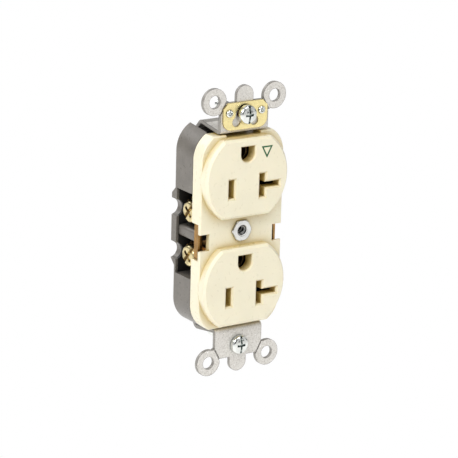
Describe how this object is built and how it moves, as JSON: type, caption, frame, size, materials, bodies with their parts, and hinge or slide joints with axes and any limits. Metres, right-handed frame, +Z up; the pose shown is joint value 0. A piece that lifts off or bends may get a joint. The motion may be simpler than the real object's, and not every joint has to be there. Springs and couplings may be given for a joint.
{
  "type": "duplex wall outlet",
  "caption": "Duplex wall outlet with T-slot faces, wrap-around steel strap with break-off ears, side terminals and a brass grounding clip.",
  "frame": {"origin": "on the axis of the wall-plate screw, in the plane of the rear of the strap's ends, which rest on the wall", "axes": "+X to the right seen from the room, +Y into the wall, +Z up"},
  "size_m": [0.034, 0.0263, 0.1032],
  "materials": {
    "ivory_moulding": "ivory moulded thermoplastic, satin gloss",
    "grey_moulding": "warm grey moulded thermoplastic, fine matt texture",
    "black_moulding": "black moulded insulating plastic",
    "galvanised_strap": "galvanised steel with a fine speckle",
    "post_steel": "zinc-plated steel",
    "plated_screw": "bright zinc-plated steel",
    "clip_brass": "bright yellow brass",
    "contact_brass": "rolled brass",
    "terminal_brass": "brass, turned and slightly tarnished",
    "clamp_brass": "stamped brass",
    "green_print": "dark green pad-printed ink",
    "green_steel": "green-dyed plated steel",
    "fibre": "vulcanised fibre"
  },
  "bodies": {
    "root": {"face_cover": "ivory_moulding", "back_body": "grey_moulding", "contact_carrier": "black_moulding", "mounting_strap": "galvanised_strap", "center_post": "post_steel", "auto_ground_clip": "clip_brass", "clip_rivets": "plated_screw", "hot_contact": "contact_brass", "neutral_contact": "contact_brass", "ground_contact": "contact_brass", "ground_isolator": "fibre", "isolated_ground_mark": "green_print"},
    "hot_upper_clamp": {"hot_upper_clamp": "clamp_brass"},
    "hot_upper_screw": {"hot_upper_screw": "terminal_brass"},
    "hot_lower_clamp": {"hot_lower_clamp": "clamp_brass"},
    "hot_lower_screw": {"hot_lower_screw": "terminal_brass"},
    "neutral_upper_clamp": {"neutral_upper_clamp": "clamp_brass"},
    "neutral_upper_screw": {"neutral_upper_screw": "terminal_brass"},
    "neutral_lower_clamp": {"neutral_lower_clamp": "clamp_brass"},
    "neutral_lower_screw": {"neutral_lower_screw": "terminal_brass"},
    "ground_clamp": {"ground_clamp": "clamp_brass"},
    "ground_screw": {"ground_screw": "green_steel"},
    "top_retainer": {"top_screw_retainer": "fibre"},
    "top_screw": {"top_mounting_screw": "plated_screw"},
    "bottom_retainer": {"bottom_screw_retainer": "fibre"},
    "bottom_screw": {"bottom_mounting_screw": "plated_screw"}
  },
  "joints": [
    {"name": "hot_upper_travel", "type": "slide", "parent": "root", "child": "hot_upper_clamp", "axis": [-1, 0, 0], "range_m": [-0.0006, 0.002]},
    {"name": "hot_upper_turn", "type": "hinge", "parent": "hot_upper_clamp", "child": "hot_upper_screw", "pos_m": [-0.013, 0.009, 0.006], "axis": [-1, 0, 0], "range_deg": [-275, 910]},
    {"name": "hot_lower_travel", "type": "slide", "parent": "root", "child": "hot_lower_clamp", "axis": [-1, 0, 0], "range_m": [-0.0006, 0.002]},
    {"name": "hot_lower_turn", "type": "hinge", "parent": "hot_lower_clamp", "child": "hot_lower_screw", "pos_m": [-0.013, 0.009, -0.01], "axis": [-1, 0, 0], "range_deg": [-275, 910]},
    {"name": "neutral_upper_travel", "type": "slide", "parent": "root", "child": "neutral_upper_clamp", "axis": [1, 0, 0], "range_m": [-0.0006, 0.002]},
    {"name": "neutral_upper_turn", "type": "hinge", "parent": "neutral_upper_clamp", "child": "neutral_upper_screw", "pos_m": [0.013, 0.009, 0.006], "axis": [1, 0, 0], "range_deg": [-275, 910]},
    {"name": "neutral_lower_travel", "type": "slide", "parent": "root", "child": "neutral_lower_clamp", "axis": [1, 0, 0], "range_m": [-0.0006, 0.002]},
    {"name": "neutral_lower_turn", "type": "hinge", "parent": "neutral_lower_clamp", "child": "neutral_lower_screw", "pos_m": [0.013, 0.009, -0.01], "axis": [1, 0, 0], "range_deg": [-275, 910]},
    {"name": "ground_travel", "type": "slide", "parent": "root", "child": "ground_clamp", "axis": [1, 0, 0], "range_m": [-0.0006, 0.002]},
    {"name": "ground_turn", "type": "hinge", "parent": "ground_clamp", "child": "ground_screw", "pos_m": [0.012, 0.009, 0.0272], "axis": [1, 0, 0], "range_deg": [-275, 910]},
    {"name": "top_screw_travel", "type": "slide", "parent": "root", "child": "top_retainer", "axis": [0, 1, 0], "range_m": [-0.0014, 0.0005]},
    {"name": "top_screw_turn", "type": "hinge", "parent": "top_retainer", "child": "top_screw", "pos_m": [0, 0, 0.04165], "axis": [0, 1, 0], "continuous": true},
    {"name": "bottom_screw_travel", "type": "slide", "parent": "root", "child": "bottom_retainer", "axis": [0, 1, 0], "range_m": [-0.0014, 0.0001]},
    {"name": "bottom_screw_turn", "type": "hinge", "parent": "bottom_retainer", "child": "bottom_screw", "pos_m": [0, 0, -0.04165], "axis": [0, 1, 0], "continuous": true}
  ],
  "couplings": [
    {"joint": "hot_upper_turn", "follows": "hot_upper_travel", "rad_per_m": 7915.8},
    {"joint": "hot_lower_turn", "follows": "hot_lower_travel", "rad_per_m": 7915.8},
    {"joint": "neutral_upper_turn", "follows": "neutral_upper_travel", "rad_per_m": 7915.8},
    {"joint": "neutral_lower_turn", "follows": "neutral_lower_travel", "rad_per_m": 7915.8},
    {"joint": "ground_turn", "follows": "ground_travel", "rad_per_m": 7915.8}
  ]
}
